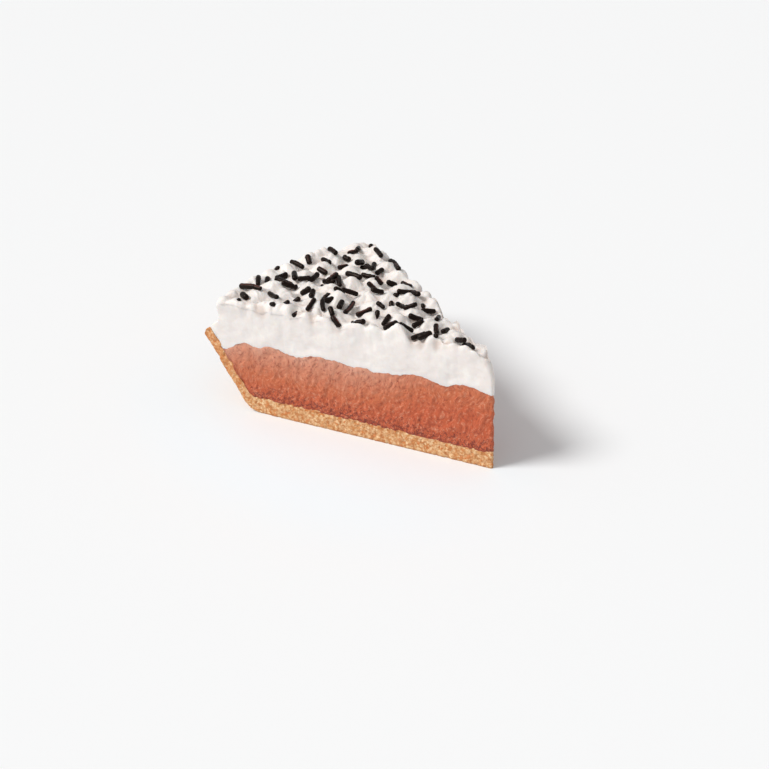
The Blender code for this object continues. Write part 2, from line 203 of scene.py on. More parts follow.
def bridge(first, second):
    # Triangles between two rows: the ends of both rows' steps, in order along the rows, tell
    # which of the two the next triangle steps along
    firstSteps, secondSteps = len(first) - 1, len(second) - 1
    ends = np.concatenate(
        (np.arange(1, firstSteps + 1) / firstSteps, np.arange(1, secondSteps + 1) / secondSteps)
    )
    alongFirst = (np.argsort(ends, kind="stable") < firstSteps).astype(int)
    i = np.cumsum(alongFirst) - alongFirst
    j = np.cumsum(1 - alongFirst) - (1 - alongFirst)
    nextFirst, nextSecond = np.minimum(i + 1, firstSteps), np.minimum(j + 1, secondSteps)
    third = np.where(alongFirst == 1, first[nextFirst], second[nextSecond])
    return np.column_stack((first[i], third, second[j]))


def cutFace(bottom, top, front, rear):
    # A surface between four lines: the blend of bottom and top, plus the blend of front and
    # rear, less the blend of the four corners
    along = np.linspace(0.0, 1.0, len(bottom))[:, None, None]
    up = np.linspace(0.0, 1.0, len(front))[None, :, None]
    lowHigh = (1 - up) * bottom[:, None] + up * top[:, None]
    nearFar = (1 - along) * front[None] + along * rear[None]
    corners = (1 - along) * ((1 - up) * front[0] + up * front[-1])
    corners = corners + along * ((1 - up) * rear[0] + up * rear[-1])
    return lowHigh + nearFar - corners


def quadTriangles(a, b, c, d):
    # Two triangles for each quad with these corners
    halves = [np.stack(corners, axis=-1).reshape(-1, 3) for corners in ((a, b, c), (a, c, d))]
    return np.concatenate(halves)


def wedgePiece(name, bottom, rear, top, front, material):
    # A closed wedge: bottom and top hold rows from tip to rim, equally many; rear and front
    # hold the rows between them from low to high. The cut faces are grids whose borders are
    # the rows' own end points.
    rows = bottom + rear + top[::-1] + front[::-1]
    sizes = [len(row) for row in rows]
    starts = np.concatenate(((0,), np.cumsum(sizes)))
    ids = [np.arange(start, start + size) for start, size in zip(starts, sizes)]
    points = [np.concatenate(rows)]
    faces = [bridge(first, second) for first, second in zip(ids, ids[1:] + ids[:1])]
    along, up = len(bottom) - 1, len(rear) + 1
    total = starts[-1]
    for side in (0, -1):
        loop = np.array([row[side] for row in ids])
        bottomLine, rearLine = loop[:along + 1], loop[along:along + up + 1]
        topLine = loop[along + up:2 * along + up + 1][::-1]
        frontLine = np.concatenate((loop[:1], loop[2 * along + up + 1:][::-1], topLine[:1]))
        borders = (bottomLine, topLine, frontLine, rearLine)
        surface = cutFace(*(points[0][border] for border in borders))
        grid = np.zeros((along + 1, up + 1), int)
        grid[:, 0], grid[:, -1], grid[0], grid[-1] = borders
        inside = (along - 1) * (up - 1)
        grid[1:-1, 1:-1] = total + np.arange(inside).reshape(along - 1, up - 1)
        points.append(surface[1:-1, 1:-1].reshape(inside, 3))
        total += inside
        faces.append(quadTriangles(grid[:-1, :-1], grid[1:, :-1], grid[1:, 1:], grid[:-1, 1:]))
    return meshPiece(name, np.concatenate(points), np.concatenate(faces), material)


def addObject(name, data):
    # A shown object at the origin
    made = bpy.data.objects.new(name, data)
    bpy.context.scene.collection.objects.link(made)
    return made


def meshPiece(name, points, faces, material, sharpAngle=60.0):
    # A shown mesh of triangles, smooth except where two of them meet more sharply than this
    mesh = bpy.data.meshes.new(name)
    mesh.from_pydata(points.tolist(), [], faces.tolist())
    bm = bmesh.new()
    bm.from_mesh(mesh)
    bmesh.ops.recalc_face_normals(bm, faces=bm.faces[:])
    bm.to_mesh(mesh)
    bm.free()
    mesh.shade_smooth()
    mesh.set_sharp_from_angle(angle=math.radians(sharpAngle))
    mesh.materials.append(material)
    print(f"{name}: {len(mesh.polygons)} triangles")
    return addObject(name, mesh)


def readPoints(piece, what="co"):
    # The mesh's points, or their normals, as rows of three
    values = np.empty(3 * len(piece.data.vertices), np.float32)
    piece.data.vertices.foreach_get(what, values)
    return values.reshape(-1, 3).astype(float)


def writePoints(piece, points):
    # Moves the mesh's points to these
    piece.data.vertices.foreach_set("co", points.astype(np.float32).ravel())
    piece.data.update()


def roughen(piece, relief, foot=0.0):
    # Each point moves along its own normal by the relief there, below foot the more sideways
    # the lower it is, so that the underside stays flat
    points, normals = readPoints(piece), readPoints(piece, "normal")
    moves = normals * relief(points, normals)[:, None]
    if foot:
        moves[:, 2] *= smoothStep(points[:, 2], 0.0, foot)
    writePoints(piece, points + moves)


def addAttribute(piece, name, values):
    # A number at each point, for the material
    attribute = piece.data.attributes.new(name, "FLOAT", "POINT")
    attribute.data.foreach_set("value", values.astype(np.float32))


def innerWallRadius(height):
    # The wall leans outwards evenly with height
    return pie["footRadius"] + wallSlope * height - pie["wallThickness"]


# Colours and node helpers

def colour(red, green, blue):
    # Screen values from 0 to 255 as the linear colour that the shader takes
    screen = np.array((red, green, blue)) / 255.0
    linear = np.where(screen <= 0.04045, screen / 12.92, ((screen + 0.055) / 1.055) ** 2.4)
    return (*linear.tolist(), 1.0)


def addNode(tree, kind, x, y, values=None, **settings):
    # A node at this place in the tree. Each of the values is for one of its sockets: a number or
    # a colour, or another node's socket, which is linked to it.
    node = tree.nodes.new("ShaderNode" + kind)
    node.location = (x, y)
    for name, value in settings.items():
        setattr(node, name, value)
    for socket, value in (values or {}).items():
        if isinstance(value, bpy.types.NodeSocket):
            tree.links.new(value, node.inputs[socket])
        else:
            node.inputs[socket].default_value = value
    return node


def newGroup(name, inputs, outputs):
    # An empty shader group with these sockets, and its two end nodes
    group = bpy.data.node_groups.new(name, "ShaderNodeTree")
    for socket, kind, value in inputs:
        made = group.interface.new_socket(socket, in_out="INPUT", socket_type="NodeSocket" + kind)
        if value is not None:
            made.default_value = value
    for socket, kind in outputs:
        group.interface.new_socket(socket, in_out="OUTPUT", socket_type="NodeSocket" + kind)
    start = group.nodes.new("NodeGroupInput")
    end = group.nodes.new("NodeGroupOutput")
    start.location, end.location = (-900, 0), (900, 0)
    return group, start, end


def useGroup(tree, group, x, y, values):
    # A shader group at this place in the tree, with these values
    return addNode(tree, "Group", x, y, values, node_tree=group)


def ramp(tree, x, y, level, piece):
    # The colour at this level between the stops in the piece's settings
    stops = [(position, piece[shade]) for position, shade in piece["stops"]]
    node = addNode(tree, "ValToRGB", x, y, {"Fac": level})
    elements = node.color_ramp.elements
    elements[0].position, elements[1].position = stops[0][0], stops[-1][0]
    elements[0].color, elements[1].color = stops[0][1], stops[-1][1]
    for position, shade in stops[1:-1]:
        elements.new(position).color = shade
    return node.outputs["Color"]


def newMaterial(name, values):
    # A material with these values on its shader, and the place at which its patterns are read
    material = bpy.data.materials.new(name)
    material.use_nodes = True
    tree = material.node_tree
    shader = tree.nodes["Principled BSDF"]
    for socket, value in values.items():
        shader.inputs[socket].default_value = value
    return material, tree, shader, addNode(tree, "TexCoord", -1300, 0).outputs["Object"]


fineGrain = {
    "fineness": 2.7,           # how many times finer the second of its two noises is
    "noise": {"Detail": 3.0, "Roughness": 0.6},
    "contrast": (0.25, 0.75),  # the values of the noise that colours read as 0 and 1
}


def makeGrainGroup():
    # Fine grain: noise at two sizes, as a value round 0.5 for colours and as a height for bump
    group, start, end = newGroup("fineGrain", [
        ("Coordinates", "Vector", None), ("Size", "Float", 1.0 * mm), ("Fine share", "Float", 0.5),
    ], [("Grain", "Float"), ("Height", "Float")])
    given = start.outputs
    scale = addNode(group, "Math", -700, -200, {0: 1.0, 1: given["Size"]}, operation="DIVIDE")
    fineScale = addNode(group, "Math", -500, -300, {
        0: scale.outputs[0], 1: fineGrain["fineness"],
    }, operation="MULTIPLY")
    coarse, fine = (
        addNode(group, "TexNoise", -300, y, {
            "Vector": given["Coordinates"], "Scale": size.outputs[0], **fineGrain["noise"],
        }).outputs["Fac"]
        for size, y in ((scale, 200), (fineScale, -200))
    )
    blend = addNode(group, "Mix", 0, 0, {"Factor": given["Fine share"], "A": coarse, "B": fine})
    height = blend.outputs["Result"]
    low, high = fineGrain["contrast"]
    contrast = addNode(
        group, "MapRange", 300, 150, {"Value": height, "From Min": low, "From Max": high}
    )
    group.links.new(contrast.outputs["Result"], end.inputs["Grain"])
    group.links.new(height, end.inputs["Height"])
    return group


def makeTintGroup():
    # Tint: moves a colour towards another where a mask is high
    group, start, end = newGroup("tint", [
        ("Colour", "Color", None), ("Tint", "Color", None), ("Mask", "Float", 0.0),
        ("From", "Float", 0.4), ("To", "Float", 0.6), ("Strength", "Float", 1.0),
    ], [("Colour", "Color")])
    given = start.outputs
    mask = addNode(group, "MapRange", -500, 100, {
        "Value": given["Mask"], "From Min": given["From"], "From Max": given["To"],
    }, interpolation_type="SMOOTHSTEP")
    share = addNode(group, "Math", -250, 100, {
        0: mask.outputs["Result"], 1: given["Strength"],
    }, operation="MULTIPLY")
    mix = addNode(group, "Mix", 0, 0, {
        "Factor": share.outputs[0], "A": given["Colour"], "B": given["Tint"],
    }, data_type="RGBA")
    group.links.new(mix.outputs["Result"], end.inputs["Colour"])
    return group


grainGroup = makeGrainGroup()
tintGroup = makeTintGroup()


def grainMasks(tree, spot, noises, y=-50):
    # The grain group once for each noise in these settings: its grain by the noise's name, and
    # its height by that name with Height added
    masks = {}
    for number, (name, (size, fineShare)) in enumerate(noises.items()):
        grain = useGroup(tree, grainGroup, -850, y - 250 * number, {
            "Coordinates": spot, "Size": size, "Fine share": fineShare,
        })
        masks |= {name: grain.outputs["Grain"], name + "Height": grain.outputs["Height"]}
    return masks


def attributeMasks(tree, *names):
    # The numbers that the mesh carries at its points
    return {
        name: addNode(tree, "Attribute", -1100, 200 * number, attribute_name=name).outputs["Fac"]
        for number, name in enumerate(names)
    }


def paint(tree, shader, base, masks, piece):
    # Tints over the base colour by the rows of tints in the piece's settings, one after the
    # other, and bump by one noise's height
    for number, (mask, shade, start, end, strength) in enumerate(piece["tints"]):
        base = useGroup(tree, tintGroup, 180 * number - 300, 600, {
            "Colour": base, "Tint": piece[shade], "Mask": masks[mask],
            "From": start, "To": end, "Strength": strength,
        }).outputs["Colour"]
    tree.links.new(base, shader.inputs["Base Color"])
    if "bump" in piece:
        height, strength, distance = piece["bump"]
        bump = addNode(tree, "Bump", -200, -250, {
            "Height": masks[height], "Strength": strength, "Distance": distance,
        })
        tree.links.new(bump.outputs["Normal"], shader.inputs["Normal"])


def mottledMaterial(name, piece, *attributes):
    # The piece's own colour with tints by its noises and by the numbers that its mesh carries
    material, tree, shader, spot = newMaterial(name, piece["shader"])
    masks = grainMasks(tree, spot, piece["noises"]) | attributeMasks(tree, *attributes)
    paint(tree, shader, piece["bodyColour"], masks, piece)
    return material


# Crumb crust

crust = {
    "spacing": 0.34 * mm,           # of the points, here as in the other pieces
    "sectionLength": 1.15,          # about how long a line of its section is, in crust radii
    "hiddenFoot": 0.3 * mm,         # how high the hidden rows of the underside reach
    "shownInside": 2.0 * mm,        # how far below the rim's shoulder the shown ones start
    "footRounding": 6.0 * mm,
    "innerRounding": 3.0 * mm,
    "outsideRounding": 1.7 * mm,
    "topRounding": 1.85 * mm,
    "unevenness": 0.4 * mm,
    "unevenSize": 12.0 * mm,
    "unevenSeeds": (11, 12),        # of the wall and of the rim
    # sizes, reliefs and seeds of the crumbs, and how far from its centre a crumb's dome ends
    "crumbs": ((1.6 * mm, 0.24 * mm, 30), (0.9 * mm, 0.14 * mm, 31)),
    "crumbDome": 0.6,
    "pits": (1.1 * mm, 0.28 * mm, 40),       # size, depth and seed
    "pitsFrom": (0.3, 0.7),         # the noise at which they start and are full
    "outsideCrumbs": 0.7,           # how much more the crumbs stand out on the outer wall
    "outsideFrom": (0.4, 0.8),      # how far outwards a face looks where that starts and is full
    "footFade": 1.2 * mm,           # the height below which its crumbs move sideways alone
    # how far crumbs reach into the filling, their mean and least share of that, and their
    # sizes, shares and seeds
    "innerCrumbs": 0.5 * mm,
    "innerShares": (0.5, -0.2),
    "innerLayers": ((0.9 * mm, 0.65, 41), (2.6 * mm, 0.7, 42)),
    "innerTurn": 2.0 * mm,          # the height over the base in which they turn to the wall
    "shader": {"Roughness": 0.82},
    "bump": ("grainHeight", 0.5, 0.18 * mm),     # the noise, its strength and how high it stands
    "bodyColour": colour(222, 173, 123),
    "paleCrumb": colour(244, 208, 162),
    "brownCrumb": colour(188, 118, 66),
    "darkSpeck": colour(132, 72, 36),
    "toast": colour(212, 146, 86),
    "orangeSpot": colour(208, 112, 44),
    "wallColour": colour(214, 134, 76),     # which the wall takes on above the base
    "footShadowAndToast": colour(150, 102, 66),      # painted contact shadow along its lower edge, and partly a toasted underside
    "crumbSize": 0.85 * mm,                 # of the single crumbs in its colours
    # the colours of single crumbs, from one end of chance to the other
    "stops": (
        (0.0, "brownCrumb"), (0.18, "toast"), (0.45, "bodyColour"),
        (0.75, "bodyColour"), (1.0, "paleCrumb"),
    ),
    # size and share of fine grain of each noise in its colours
    "noises": {"grain": (0.7 * mm, 0.5), "patches": (7.0 * mm, 0.3), "clumps": (1.3 * mm, 0.2)},
    # mask and colour of each tint, where the mask starts and is full, and how strong it is
    "tints": (
        ("height", "wallColour", 7.0 * mm, 15.0 * mm, 0.55),
        ("patches", "toast", 0.5, 0.95, 0.55),
        ("clumps", "paleCrumb", 0.52, 0.80, 0.85),
        ("grain", "paleCrumb", 0.55, 0.9, 0.4),
        ("chance", "orangeSpot", 0.88, 0.94, 0.7),
        ("edge", "brownCrumb", 0.45, 0.85, 0.6),
        ("clumps", "brownCrumb", 0.46, 0.18, 0.9),
        ("grain", "darkSpeck", 0.32, 0.08, 0.75),
        # darker towards the floor: painted contact shadow, partly a toasted underside
        ("height", "footShadowAndToast", 0.9 * mm, 0.1 * mm, 0.55),
    ),
}


def makeCrustMaterial():
    # Single crumbs, each of one chance colour round its centre, with tints by noise and height
    material, tree, shader, spot = newMaterial("crumbCrust", crust["shader"])
    crumbs = addNode(
        tree, "TexVoronoi", -1000, 300, {"Vector": spot, "Scale": 1 / crust["crumbSize"]}
    )
    chance = addNode(tree, "SeparateColor", -800, 300, {0: crumbs.outputs["Color"]})
    height = addNode(tree, "SeparateXYZ", -900, 550, {0: spot})
    body = ramp(tree, -600, 300, chance.outputs["Red"], crust)
    masks = grainMasks(tree, spot, crust["noises"]) | {
        "height": height.outputs["Z"], "chance": chance.outputs["Green"],
        "edge": crumbs.outputs["Distance"],
    }
    paint(tree, shader, body, masks, crust)
    return material


def makeCrust():
    # The base and the wall as one closed wedge round the section's line: along the underside and
    # up the outside, over the rim, and back down the inside and along the base's top
    tipLow = (tipRadius(0.0), 0.0)
    tipHigh = (tipRadius(pie["baseHeight"]), pie["baseHeight"])
    foot = (pie["footRadius"], 0.0)
    rimOutside = (pie["crustRadius"], pie["rimShoulder"])
    rimTop = (pie["crustRadius"] - pie["wallThickness"] / 2, pie["rimHeight"])
    rimInside = (innerWallRadius(pie["rimShoulder"]), pie["rimShoulder"])
    corner = (innerWallRadius(pie["baseHeight"]), pie["baseHeight"])
    # The shoulder's first half ends the outside, and its second half starts the way over the rim
    shoulder = rounded(rimOutside, foot, rimTop, crust["outsideRounding"])
    outside = [tipLow, *rounded(foot, tipLow, rimOutside, crust["footRounding"]), *shoulder[:5]]
    inside = [tipHigh, *rounded(corner, tipHigh, rimInside, crust["innerRounding"]), rimInside]
    rim = rounded(rimTop, rimOutside, rimInside, crust["topRounding"])
    over = [*shoulder[4:], *rim, rimInside]
    along = round(pie["crustRadius"] * crust["sectionLength"] / crust["spacing"])
    across = round(pie["baseHeight"] / crust["spacing"])

    def crumbly(radii, angles, heights):
        # Long uneven waves move the rim up or down, and the outer wall inwards, at its foot half
        # as much as at the rim. The outer wall is what lies past a third of its thickness and
        # above the lowest part of the foot's rounding.
        points = place(radii, angles, heights)
        wallWaves, rimWaves = (
            waves(points, crust["unevenSize"], seed) for seed in crust["unevenSeeds"]
        )
        share = smoothStep(heights, -pie["rimHeight"], pie["rimHeight"])
        inwards = crust["unevenness"] * share * (wallWaves - 1.0)
        outer = radii > innerWallRadius(heights) + pie["wallThickness"] / 3
        outer &= heights > crust["footRounding"] / 4
        atRim = smoothStep(heights, pie["rimShoulder"], pie["rimHeight"])
        upwards = crust["unevenness"] * atRim * rimWaves
        return radii + np.where(outer, inwards, 0.0), heights + upwards

    def innerCrumbly(radii, angles, heights):
        # Crumbs reach into the filling, up from the base and in from the wall
        points = place(radii, angles, heights)
        mean, least = crust["innerShares"]
        reach = np.clip(mean + layeredNoise(points, crust["innerLayers"]), least, None)
        below = heights < pie["rimShoulder"] - crust["shownInside"] / 2
        reach = crust["innerCrumbs"] * reach * below
        turned = pie["baseHeight"] + crust["innerTurn"]
        onWall = smoothStep(heights, pie["baseHeight"], turned)
        radii, heights = crumbly(radii - reach * onWall, angles, heights)
        return radii, heights + reach * (1.0 - onWall)

    def rows(line, hiddenBelow=0.0, shape=crumbly):
        # Rows along a line of the section, with few points where another piece hides them
        hidden = line[:, 1] < hiddenBelow
        spacings = np.where(hidden, pie["hiddenSpacing"], crust["spacing"])
        return [arcRow(*spot, spacing, shape) for spot, spacing in zip(line, spacings)]

    bottom = rows(resample(outside, along), crust["hiddenFoot"])
    shownFrom = pie["rimShoulder"] - crust["shownInside"]
    top = rows(resample(inside, along), shownFrom, innerCrumbly)
    rear = rows(resample(over, across)[1:-1])
    front = rows(resample([tipLow, tipHigh], across)[1:-1])
    piece = wedgePiece("crumbCrust", bottom, rear, top, front, makeCrustMaterial())

    def crumbRelief(points, normals):
        # Domes round strewn crumb centres at two sizes, with pits where a soft noise is high,
        # and more of both where a face looks away from the pie's centre
        relief = sum(
            height * (crust["crumbDome"] - crumbDistance(points, size, seed))
            for size, height, seed in crust["crumbs"]
        )
        size, depth, seed = crust["pits"]
        relief -= depth * smoothStep(softNoise(points, size, seed), *crust["pitsFrom"])
        away = points[:, :2] - (0.0, centreY)
        outward = (normals[:, :2] * away).sum(axis=1) / np.linalg.norm(away, axis=1)
        return relief * (1.0 + crust["outsideCrumbs"] * smoothStep(outward, *crust["outsideFrom"]))

    roughen(piece, crumbRelief, crust["footFade"])
    return piece


# Chocolate filling

filling = {
    "spacing": 0.36 * mm,
    # crests and dips of its top along the cut at -X, as radius and height in millimetres
    "topLine": np.array((
        (0.0, 29.2), (10.0, 31.1), (15.0, 30.8), (20.0, 29.1), (30.0, 31.0), (40.0, 29.0),
        (47.0, 28.3), (50.5, 29.1), (55.0, 28.2), (62.0, 29.1), (69.0, 29.2), (78.5, 27.0),
        (88.0, 28.8), (93.5, 27.1), (98.5, 28.2), (107.5, 23.6),
    )) * mm,
    "topShift": 9.0 * mm,           # how far out they move towards the other cut
    # sizes, depths and seeds of the notches of its top line, and of the grain of its cut
    "notches": ((2.6 * mm, 0.20 * mm, 50), (1.1 * mm, 0.26 * mm, 51)),
    "grain": ((2.0 * mm, 0.34 * mm, 60), (0.9 * mm, 0.26 * mm, 61)),
    "grainBend": (6.0 * mm, 1.5 * mm, 64),   # size, reach and seed of the bends in it
    "grainFrom": (0.6, 0.9),        # how upright a face is where it starts and is full
    "grainLean": math.radians(20.0),         # how far it leans from upright towards the tip
    "grainStretch": 2.0,
    "bend": (5.0 * mm, 4.0 * mm),   # size and reach of the bends in its colour streaks
    "tipTone": 0.43,                # how much less pale its top is at the tip
    "tipToneReach": (15.0 * mm, 58.0 * mm),
    "edgeBand": 3.0 * mm,           # how far from the crust it darkens
    "wobble": 0.10,                 # how far its bands of colour wander, as a share of its height
    # a dark broken line over the base: its height and half width; the sizes, heights and seeds
    # of its wander; and the sizes, seeds and ends of the noises that break it
    "seamLine": (1.6 * mm, 0.34 * mm),
    "seamWander": ((5.0 * mm, 0.5 * mm, 66), (1.5 * mm, 0.7 * mm, 69)),
    "seamGaps": ((1.1 * mm, 67, -0.4, 0.5), (14.0 * mm, 68, -0.7, 0.2)),
    "shader": {
        "Roughness": 0.55, "Subsurface Weight": 0.15, "Subsurface Scale": 1.2 * mm,
        "Subsurface Radius": (1.0, 0.45, 0.30),
    },
    "bump": ("streaksHeight", 0.8, 0.30 * mm),
    "topColour": colour(215, 155, 130),
    "upperColour": colour(203, 129, 99),
    "middleColour": colour(197, 104, 63),
    "lowColour": colour(193, 88, 47),
    "footColour": colour(138, 50, 32),
    "paleGrain": colour(222, 150, 118),
    "darkGrain": colour(142, 50, 26),
    "speckColour": colour(120, 42, 26),      # of the dark specks in its lower part
    "seamColour": colour(104, 36, 24),
    # its bands of colour, from the base at 0 to its top at 1
    "stops": (
        (0.0, "lowColour"), (0.12, "lowColour"), (0.45, "middleColour"),
        (0.78, "upperColour"), (1.0, "topColour"),
    ),
    "noises": {"soft": (5.0 * mm, 0.3), "grain": (0.55 * mm, 0.4), "flecks": (1.2 * mm, 0.5)},
    "leaningNoises": {"streaks": (1.0 * mm, 0.35)},
    "tints": (
        ("streaks", "paleGrain", 0.5, 0.9, 0.9),
        ("streaks", "darkGrain", 0.5, 0.1, 0.9),
        ("specks", "speckColour", 0.42, 0.60, 0.95),
        ("grain", "paleGrain", 0.6, 1.0, 0.35),
        ("grain", "darkGrain", 0.35, 0.0, 0.6),
        ("fromCrust", "footColour", 0.45, 0.05, 0.45),
        ("seamLine", "seamColour", 0.2, 0.9, 0.85),
    ),
}


def fillingEdge():
    # The radius at which its top meets the crust's wall
    return innerWallRadius(filling["topLine"][-1, 1]) - pie["seam"]


def fillingRadii():
    # Of the rows of its top, which are those of the cream's underside as well
    edge = fillingEdge()
    return np.linspace(tipRadius(pie["fillingCentre"]), edge, round(edge / filling["spacing"]))


def fillingHeight(radii, angles):
    # A smooth step from each crest or dip of its top to the next, and small notches; crests and
    # dips move out with the angle, most of all half way to the rim
    spots, heights = filling["topLine"].T
    shift = filling["topShift"] * (angles + halfAngle) / pie["sliceAngle"]
    wanted = np.clip(radii - shift * np.sin(math.pi * radii / spots[-1]), 0.0, spots[-1])
    step = np.clip(np.searchsorted(spots, wanted) - 1, 0, len(spots) - 2)
    share = smoothStep(wanted, spots[step], spots[step + 1])
    height = heights[step] + share * (heights[step + 1] - heights[step])
    return height + layeredNoise(place(radii, angles, 0.0 * radii), filling["notches"])


def makeFillingMaterial():
    # Bands of colour up its height, which a soft noise makes wander, with streaks of a noise
    # that is read at bent places in leaning coordinates
    material, tree, shader, spot = newMaterial("chocolateFilling", filling["shader"])
    size, reach = filling["bend"]
    bends = addNode(
        tree, "TexNoise", -1700, -100, {"Vector": spot, "Scale": 1 / size, "Detail": 0.0}
    )
    bent = addNode(tree, "VectorMath", -1500, -100, {
        0: bends.outputs["Color"], 1: (reach, reach, reach), 2: spot,
    }, operation="MULTIPLY_ADD")
    leaning = addNode(tree, "Mapping", -1100, -300, {
        "Vector": bent.outputs[0], "Rotation": (filling["grainLean"], 0.0, 0.0),
        "Scale": (1.0, 1.0, filling["grainStretch"]),
    }, vector_type="TEXTURE")
    masks = attributeMasks(tree, "rise", "low", "fromCrust", "seamLine")
    masks |= grainMasks(tree, spot, filling["noises"])
    masks |= grainMasks(tree, leaning.outputs[0], filling["leaningNoises"], -800)
    wobble = addNode(tree, "MapRange", -850, 450, {
        "Value": masks["soft"], "To Min": -filling["wobble"], "To Max": filling["wobble"],
    })
    level = addNode(tree, "Math", -650, 450, {
        0: masks["rise"], 1: wobble.outputs["Result"],
    }, operation="ADD")
    specks = addNode(tree, "Math", -650, 650, {
        0: masks["low"], 1: masks["flecks"],
    }, operation="MULTIPLY")
    masks["specks"] = specks.outputs[0]
    paint(tree, shader, ramp(tree, -600, 250, level.outputs[0], filling), masks, filling)
    return material


def makeFilling():
    # A closed wedge between the crust and the wavy top
    floor = pie["baseHeight"] + pie["seam"]
    up = round((pie["fillingCentre"] - floor) / filling["spacing"])
    edge = fillingEdge()
    radii = fillingRadii()
    along = len(radii) - 1
    tipLow = (tipRadius(floor), floor)
    corner = (innerWallRadius(floor) - pie["seam"], floor)
    topEdge = (edge, filling["topLine"][-1, 1])
    # The turn's first half ends the bottom, and its second half starts the rear
    turn = rounded(corner, tipLow, topEdge, crust["innerRounding"])

    def wavy(radii, angles, heights):
        # The top itself
        return radii, fillingHeight(radii, angles)

    def risingTo(radius, height):
        # Rows of a side follow the wavy top above this height, the more the higher they are
        def shape(radii, angles, heights):
            # Up by this share of how far the top there is over that height
            share = smoothStep(heights, floor, height)
            return radii, heights + share * (fillingHeight(0 * angles + radius, angles) - height)
        return shape

    tipHigh = (radii[0], pie["fillingCentre"])
    bottomLine = resample([tipLow, *turn[:5]], along)
    bottom = arcRows(bottomLine, pie["hiddenSpacing"])
    top = arcRows([(radius, tipHigh[1]) for radius in radii], pie["hiddenSpacing"], wavy)
    rearLine = resample([*turn[4:], topEdge], up)[1:-1]
    rear = arcRows(rearLine, pie["hiddenSpacing"], risingTo(*topEdge))
    frontLine = resample([tipLow, tipHigh], up)[1:-1]
    front = arcRows(frontLine, filling["spacing"], risingTo(*tipHigh))
    piece = wedgePiece("chocolateFilling", bottom, rear, top, front, makeFillingMaterial())

    points = readPoints(piece)
    radii, angles = polar(points[:, 0], points[:, 1])
    height = points[:, 2] - floor
    rise = height / (fillingHeight(radii, angles) - floor)
    atTip = 1.0 - smoothStep(radii, *filling["tipToneReach"])
    addAttribute(piece, "rise", rise - filling["tipTone"] * atTip)
    addAttribute(piece, "low", 1.0 - rise)
    fromWall = (innerWallRadius(points[:, 2]) - radii) / math.hypot(1.0, wallSlope)
    addAttribute(piece, "fromCrust", np.minimum(height, fromWall) / filling["edgeBand"])
    # A bell over the height above the line, which wanders up and down; soft noises break it
    lineHeight, halfWidth = filling["seamLine"]
    away = height - lineHeight - layeredNoise(points, filling["seamWander"])
    line = np.exp(-((away / halfWidth) ** 2))
    for size, seed, start, end in filling["seamGaps"]:
        line = line * smoothStep(softNoise(points, size, seed), start, end)
    addAttribute(piece, "seamLine", line)

    def grainRelief(points, normals):
        # Soft noise at two sizes, on the cut faces alone, in coordinates that lean with the grain
        sine, cosine = math.sin(filling["grainLean"]), math.cos(filling["grainLean"])
        x, y, z = bentPoints(points, *filling["grainBend"]).T
        leaning = np.column_stack(
            (x, y * cosine + z * sine, (z * cosine - y * sine) / filling["grainStretch"])
        )
        onCut = smoothStep(np.hypot(normals[:, 0], normals[:, 1]), *filling["grainFrom"])
        return onCut * layeredNoise(leaning, filling["grain"])

    roughen(piece, grainRelief)
    return piece


# Whipped cream

